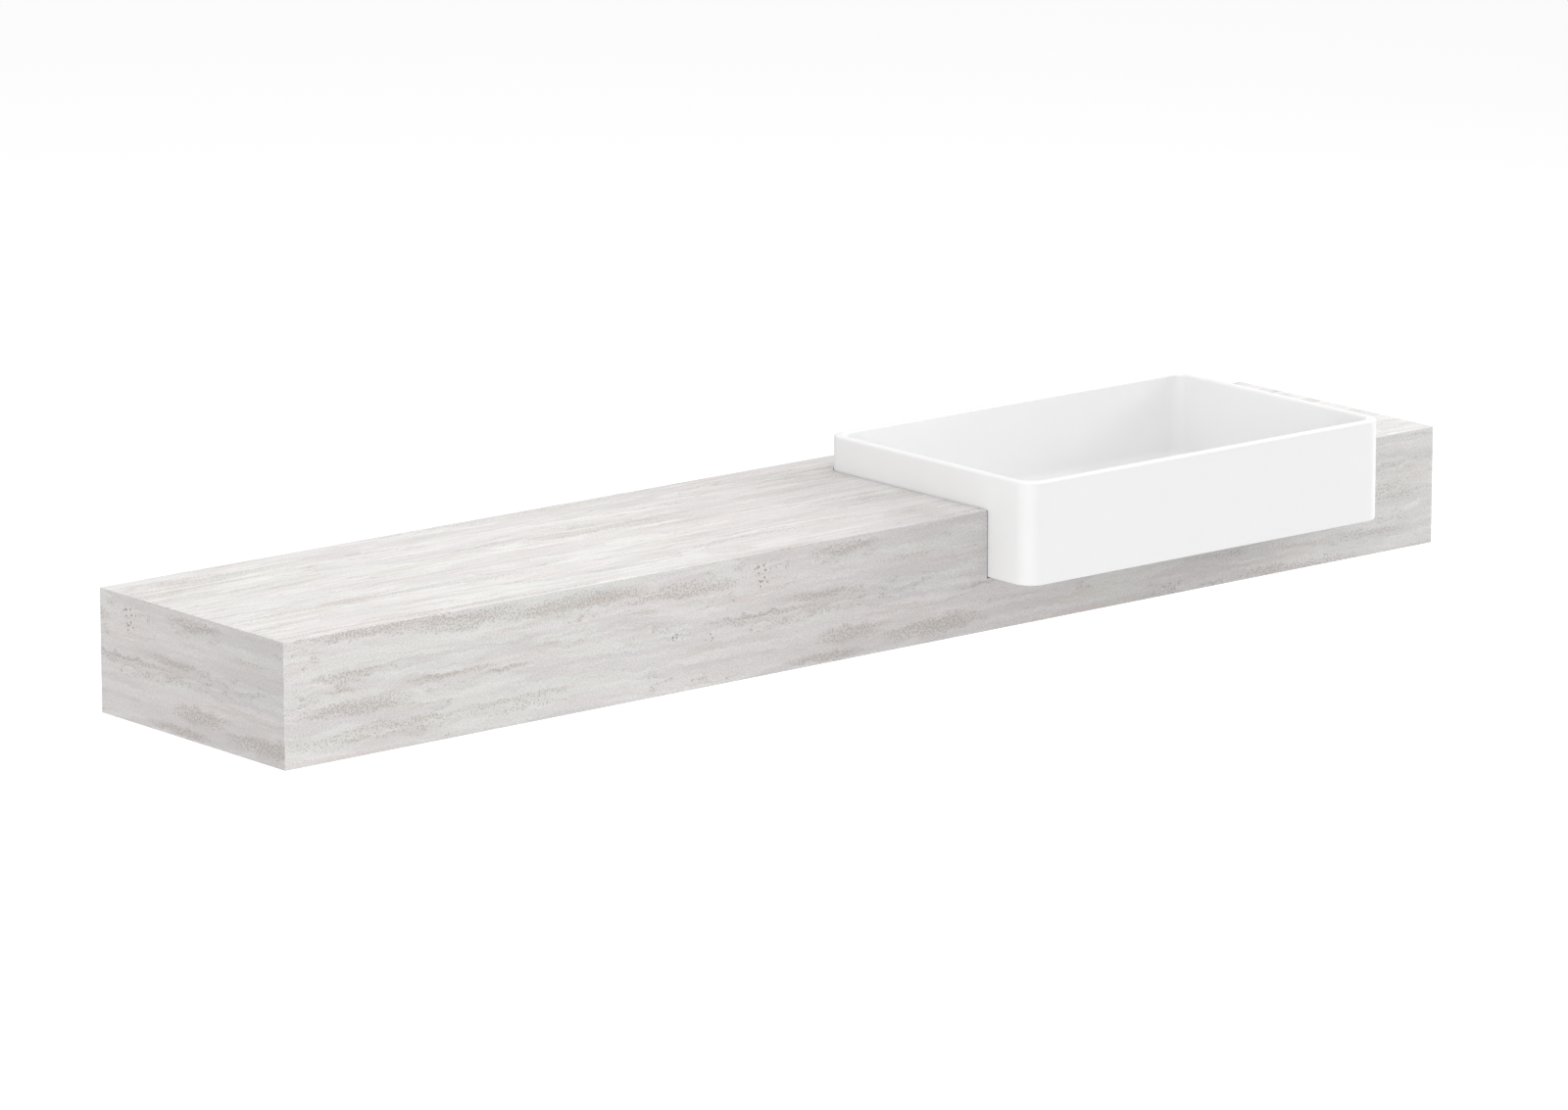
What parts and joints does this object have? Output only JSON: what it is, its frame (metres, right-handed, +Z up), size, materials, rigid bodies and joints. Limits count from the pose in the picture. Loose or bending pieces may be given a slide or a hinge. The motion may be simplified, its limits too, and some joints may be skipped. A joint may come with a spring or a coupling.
{
  "type": "wall-hung vanity basin",
  "caption": "Long thick wall-hung slab in pale travertine-look stone with a white rectangular basin let into its top and standing out in front.",
  "frame": {"origin": "on the wall's face, at the slab's mid-length and mid-height, the centre of the outer brackets' bolts", "axes": "+X along the slab to its right end as seen from the front, +Y into the wall, +Z up"},
  "size_m": [1.8, 0.431, 0.194],
  "materials": {
    "stone": "matt sintered stone with fine travertine bands",
    "plywood": "raw birch plywood",
    "powder_coated_steel": "black powder coat",
    "black_plastic": "moulded polyethylene",
    "ceramic": "white satin glaze",
    "rubber": "moulded rubber",
    "silicone": "grey sanitary silicone",
    "chrome": "polished chrome plating",
    "brass": "machined",
    "white_plastic": "moulded acetal",
    "spring_steel": "drawn wire"
  },
  "bodies": {
    "root": {"top_slab": "stone", "front_slab": "stone", "end_slab_left": "stone", "end_slab_right": "stone", "bottom_slab": "stone", "front_rail": "plywood", "back_rail": "plywood", "basin_shelf": "plywood", "shelf_batten_left": "plywood", "shelf_batten_right": "plywood", "sleeve_rib_1_left": "plywood", "sleeve_rib_1_right": "plywood", "sleeve_rib_2_left": "plywood", "sleeve_rib_2_right": "plywood", "sleeve_rib_3_left": "plywood", "sleeve_rib_3_right": "plywood", "sleeve_rib_4_left": "plywood", "sleeve_rib_4_right": "plywood", "sleeve_packer_1_top": "plywood", "sleeve_packer_1_bottom": "plywood", "sleeve_packer_2_top": "plywood", "sleeve_packer_2_bottom": "plywood", "sleeve_packer_3_top": "plywood", "sleeve_packer_3_bottom": "plywood", "sleeve_packer_4_top": "plywood", "sleeve_packer_4_bottom": "plywood", "wall_bracket_1": "powder_coated_steel", "wall_bracket_2": "powder_coated_steel", "wall_bracket_3": "powder_coated_steel", "wall_bracket_4": "powder_coated_steel", "arm_end_plugs": "black_plastic", "basin": "ceramic", "basin_pads": "rubber", "waste_flange_seal": "rubber", "waste_washer": "rubber", "joint_sealant": "silicone", "waste_body": "chrome", "waste_nut": "brass", "guide_base": "brass", "guide_spring": "spring_steel"},
    "plug": {"guide_sleeve": "white_plastic", "plug_cap": "chrome", "plug_seal": "rubber"}
  },
  "joints": [
    {"name": "plug_lift", "type": "slide", "parent": "root", "child": "plug", "axis": [0, 0, 1], "range_m": [0, 0.008], "deforming": ["guide_spring"]}
  ]
}
